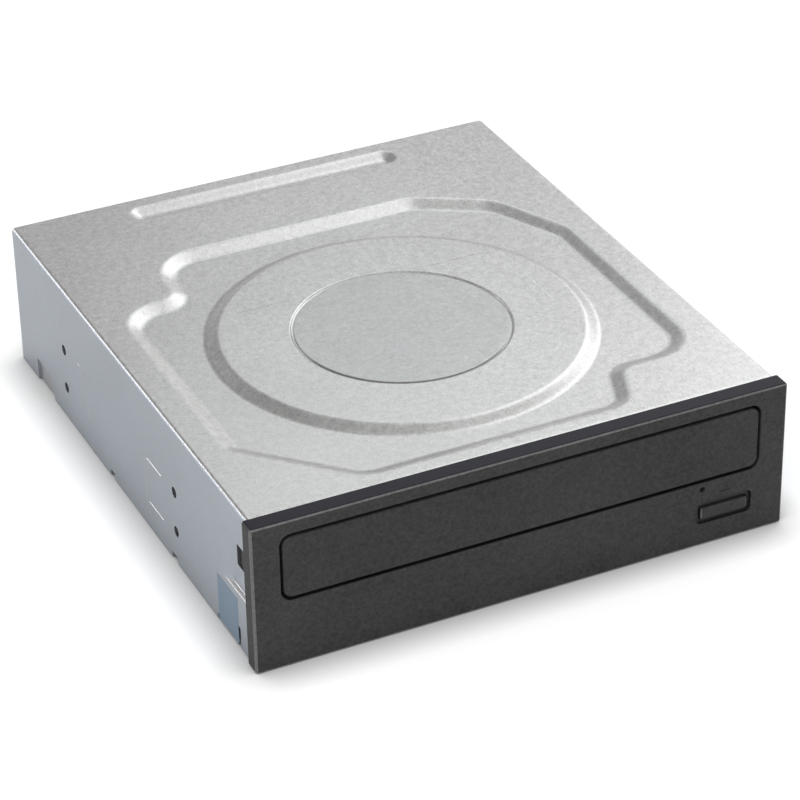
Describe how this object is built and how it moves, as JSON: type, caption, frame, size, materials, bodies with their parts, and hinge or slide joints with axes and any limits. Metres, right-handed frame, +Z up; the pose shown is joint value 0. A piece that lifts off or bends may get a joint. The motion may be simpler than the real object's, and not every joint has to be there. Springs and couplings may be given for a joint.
{
  "type": "internal optical disc drive",
  "caption": "Half-height internal disc drive: folded sheet case with drawn lid, moulded bezel with tray door and button, gear-driven sliding tray, lifting spindle and pickup.",
  "frame": {"origin": "middle of the footprint, on the plane under the bezel", "axes": "+X to the right seen from the front, -Y out of the front bezel, +Z up"},
  "size_m": [0.148, 0.17, 0.042],
  "materials": {
    "zinc_sheet": "satin zinc-coated sheet",
    "bezel_plastic": "fine moulded grain",
    "button_plastic": "fine moulded grain",
    "frame_plastic": "moulded, satin",
    "tray_plastic": "moulded, satin",
    "gear_plastic": "natural acetal",
    "clamp_plastic": "moulded, satin",
    "turntable_plastic": "moulded, satin",
    "switch_plastic": "moulded",
    "plug_plastic": "moulded",
    "board_laminate": "glass laminate under solder mask",
    "chip_resin": "moulded resin",
    "screw_steel": "zinc plated",
    "rod_steel": "ground and polished",
    "motor_steel": "plated can",
    "plate_steel": "pressed sheet",
    "cast_metal": "die cast, as cast",
    "belt_rubber": "smooth",
    "damper_rubber": "smooth, soft",
    "seat_rubber": "smooth",
    "pad_foil": "matt coated foil",
    "tape_film": "satin film",
    "lens_glass": "coated",
    "lamp_resin": "clear resin",
    "ribbon_film": "laminated film"
  },
  "bodies": {
    "case": {"top_cover": "zinc_sheet", "bottom_cover": "zinc_sheet", "cover_screws": "screw_steel", "front_bezel": "bezel_plastic", "damping_pad": "pad_foil", "seal_tape": "tape_film", "status_lens": "lamp_resin", "status_lamp": "lamp_resin", "front_board": "board_laminate", "eject_switch": "switch_plastic", "front_ribbon": "ribbon_film", "main_chassis": "frame_plastic", "clamp_bridge": "zinc_sheet", "bridge_screws": "screw_steel", "main_board": "board_laminate", "board_chips": "chip_resin", "board_screws": "screw_steel", "plug_housing": "plug_plastic", "drive_belt": "belt_rubber", "loading_motor": "motor_steel"},
    "tray": {"disc_tray": "tray_plastic", "tray_door": "bezel_plastic"},
    "drive_gear_body": {"drive_gear": "gear_plastic"},
    "pulley_gear_body": {"pulley_gear": "gear_plastic"},
    "motor_pulley_body": {"motor_pulley": "gear_plastic"},
    "cam": {"cam_slider": "gear_plastic"},
    "lift": {"lift_frame": "frame_plastic", "rubber_dampers": "damper_rubber", "damper_screws": "screw_steel", "traverse_plate": "plate_steel", "main_guide_rod": "rod_steel", "sub_guide_rod": "rod_steel", "spindle_motor": "motor_steel", "sled_motor": "motor_steel"},
    "spindle": {"spindle_rotor": "motor_steel", "turntable": "turntable_plastic", "disc_seat_ring": "seat_rubber"},
    "pickup": {"pickup_base": "cast_metal", "lens_cover": "turntable_plastic", "objective_lens": "lens_glass"},
    "screw": {"lead_screw": "rod_steel"},
    "clamp": {"clamper": "clamp_plastic", "clamper_yoke": "motor_steel"},
    "button": {"eject_button": "button_plastic", "switch_plunger": "switch_plastic"}
  },
  "joints": [
    {"name": "tray_slide", "type": "slide", "parent": "case", "child": "tray", "axis": [0, -1, 0], "range_m": [0, 0.138]},
    {"name": "drive_gear_turn", "type": "hinge", "parent": "case", "child": "drive_gear_body", "pos_m": [-0.042, -0.062, 0.019], "axis": [0, 0, 1], "range_deg": [0, 791.18]},
    {"name": "pulley_gear_turn", "type": "hinge", "parent": "case", "child": "pulley_gear_body", "pos_m": [-0.0212, -0.062, 0.019], "axis": [0, 0, 1], "range_deg": [-2636.11, 0]},
    {"name": "motor_pulley_turn", "type": "hinge", "parent": "case", "child": "motor_pulley_body", "pos_m": [0.0048, -0.062, 0.019], "axis": [0, 0, 1], "range_deg": [-7142.14, 0]},
    {"name": "cam_slide", "type": "slide", "parent": "case", "child": "cam", "axis": [1, 0, 0], "range_m": [0, 0.014]},
    {"name": "lift_pivot", "type": "hinge", "parent": "case", "child": "lift", "pos_m": [0, 0.062, 0.013], "axis": [1, 0, 0], "range_deg": [0, 4.62]},
    {"name": "spindle_turn", "type": "hinge", "parent": "lift", "child": "spindle", "pos_m": [0, -0.0137, 0.02], "axis": [0, 0, 1], "continuous": true},
    {"name": "pickup_slide", "type": "slide", "parent": "lift", "child": "pickup", "axis": [0, 1, 0], "range_m": [0, 0.034]},
    {"name": "lead_screw_turn", "type": "hinge", "parent": "lift", "child": "screw", "pos_m": [0.0351, 0, 0.0175], "axis": [0, 1, 0], "range_deg": [0, 4080.5]},
    {"name": "clamper_turn", "type": "hinge", "parent": "case", "child": "clamp", "pos_m": [0, -0.0137, 0.035], "axis": [0, 0, 1], "continuous": true},
    {"name": "button_press", "type": "slide", "parent": "case", "child": "button", "axis": [0, 1, 0], "range_m": [0, 0.0008], "stiffness_N_per_m": 400}
  ],
  "couplings": [
    {"joint": "drive_gear_turn", "follows": "tray_slide", "rad_per_m": 100},
    {"joint": "pulley_gear_turn", "follows": "tray_slide", "rad_per_m": -333.33},
    {"joint": "motor_pulley_turn", "follows": "tray_slide", "rad_per_m": -903.23},
    {"joint": "lift_pivot", "follows": "cam_slide", "rad_per_m": 5.7347},
    {"joint": "lead_screw_turn", "follows": "pickup_slide", "rad_per_m": 2094.4}
  ]
}
